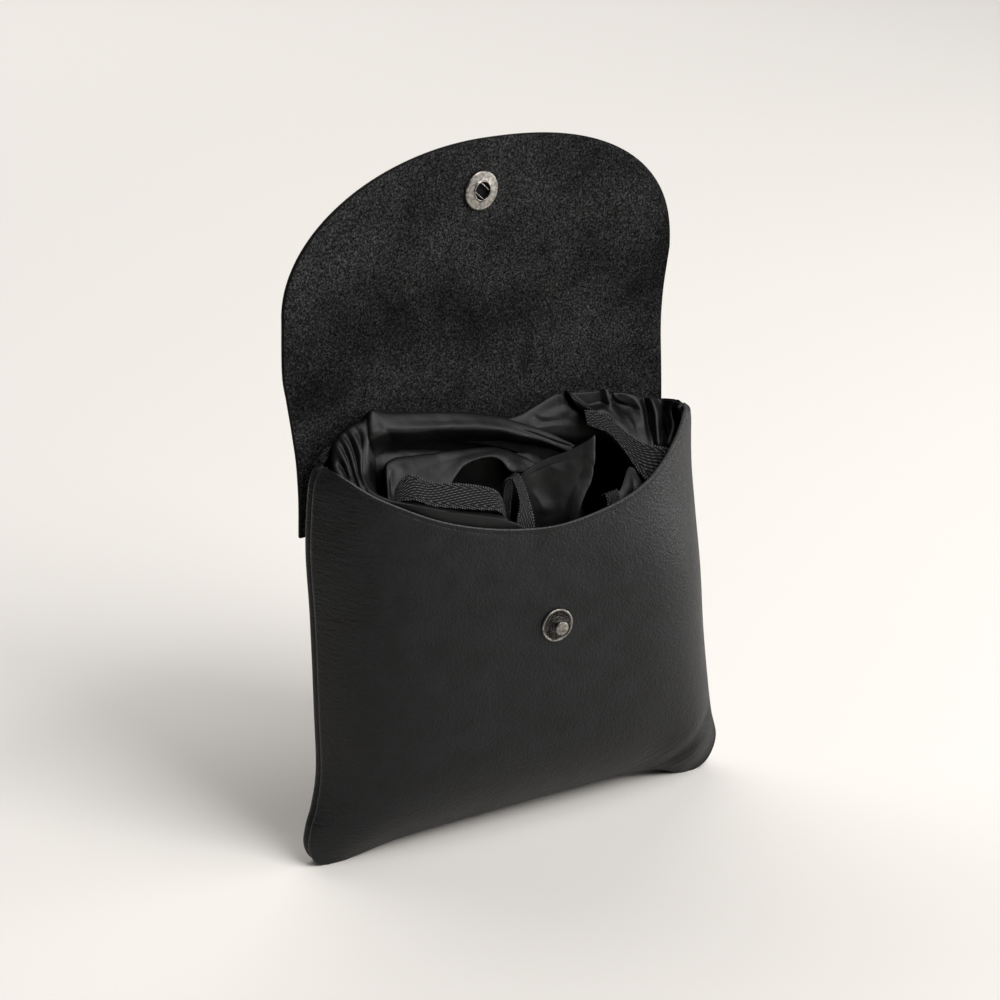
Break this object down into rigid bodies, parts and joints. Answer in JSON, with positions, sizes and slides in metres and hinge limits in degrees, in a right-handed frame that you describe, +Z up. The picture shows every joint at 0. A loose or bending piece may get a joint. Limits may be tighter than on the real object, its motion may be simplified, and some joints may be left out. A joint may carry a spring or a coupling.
{
  "type": "leather pouch with a folded nylon shopper bag",
  "caption": "Small black leather snap pouch standing open, its flap up, with a folded black nylon shopper and its tape handles tucked inside.",
  "frame": {"origin": "on the resting surface, under the middle of the pouch's box", "axes": "+X across the pouch to the right as its front is seen, -Y out of the front panel, +Z up towards the open flap"},
  "size_m": [0.1754, 0.0596, 0.2525],
  "materials": {
    "leather": "smooth fine-grained black leather, satin, suede on its flesh side",
    "nylon": "thin black ripstop-like nylon cloth with a soft sheen",
    "tape": "matt black herringbone tape",
    "metal": "antique silver plating, satin, darker in its recesses"
  },
  "bodies": {
    "root": {"front_panel": "leather", "back_panel": "leather", "flap": "leather", "snap_stud": "metal", "stud_rivet": "metal", "snap_socket": "metal", "snap_cap": "metal", "shopper_liner": "nylon", "shopper_inner_fold": "nylon", "shopper_centre_panel": "nylon", "handle_tape_left": "tape", "handle_tape_loop": "tape", "handle_tape_right": "tape", "handle_tape_end": "tape"}
  },
  "joints": []
}
